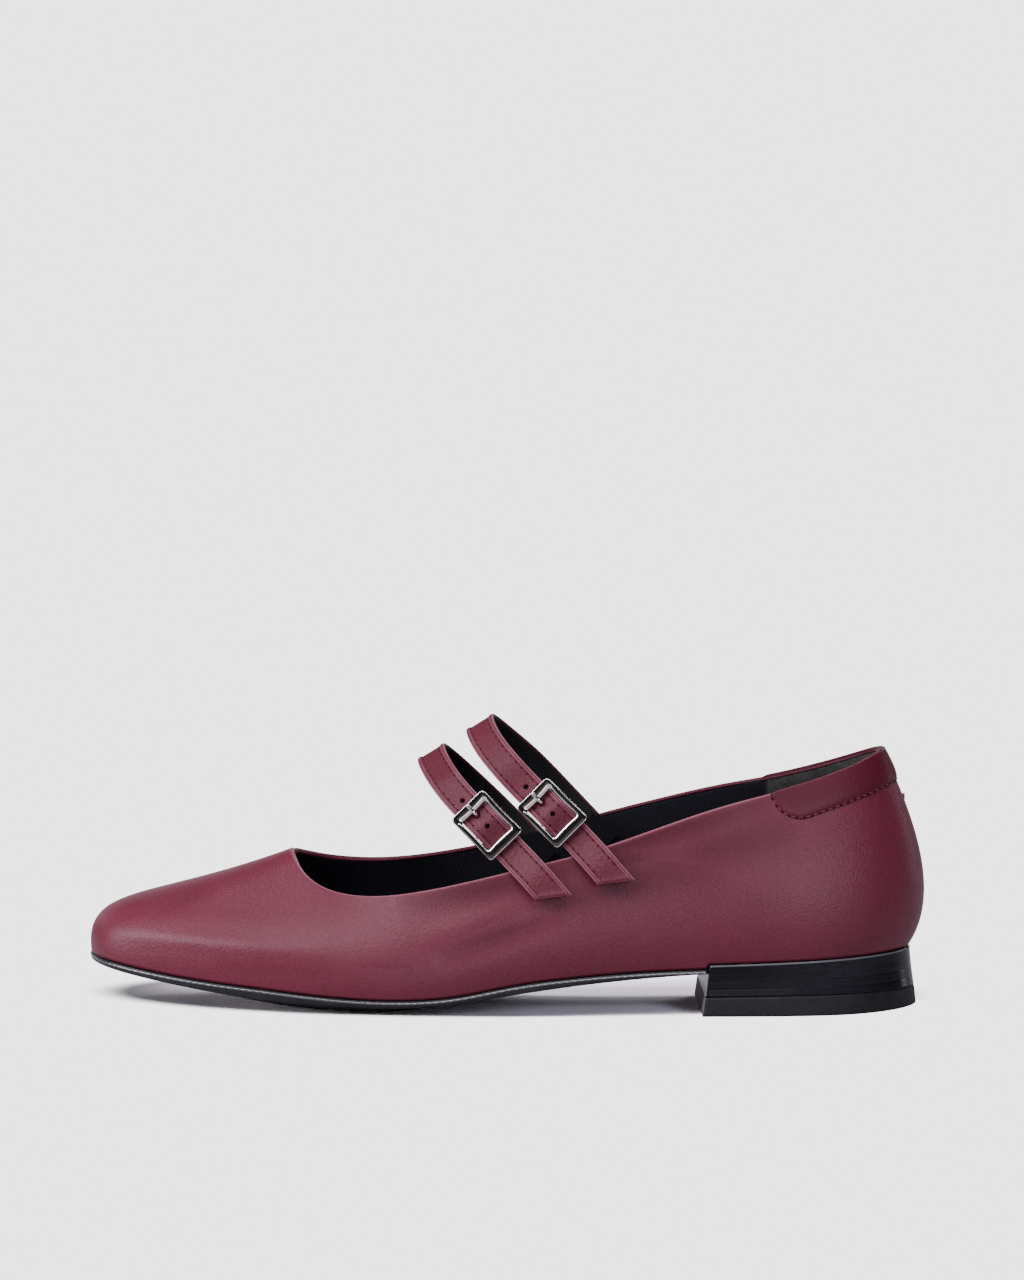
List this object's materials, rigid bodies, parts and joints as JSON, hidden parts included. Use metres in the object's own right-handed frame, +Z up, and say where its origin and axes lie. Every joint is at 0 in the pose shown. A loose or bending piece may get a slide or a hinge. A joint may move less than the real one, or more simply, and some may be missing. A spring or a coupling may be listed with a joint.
{
  "type": "mary jane shoe",
  "caption": "Low-heeled closed leather shoe with a wide open throat and buckled instep straps, standing empty on its sole.",
  "frame": {"origin": "middle of the bounding box at floor level", "axes": "+X towards the heel, -X towards the toe, -Y is the outer side with the buckles, +Z up"},
  "size_m": [0.2574, 0.078, 0.0899],
  "materials": {
    "upper_leather": "satin",
    "sole_leather": "satin",
    "heel_stack": "gloss",
    "lift_rubber": "matte",
    "lining": "matte",
    "buckle_metal": "polished"
  },
  "bodies": {
    "root": {"upper": "upper_leather", "heel_collar_patch": "upper_leather", "strap_front": "upper_leather", "strap_rear": "upper_leather", "anchor_front": "upper_leather", "anchor_rear": "upper_leather", "outsole": "sole_leather", "insole": "lining", "heel_block": "heel_stack", "heel_lift": "lift_rubber", "buckle_front": "buckle_metal", "buckle_rear": "buckle_metal", "prong_front": "buckle_metal", "prong_rear": "buckle_metal"}
  },
  "joints": []
}
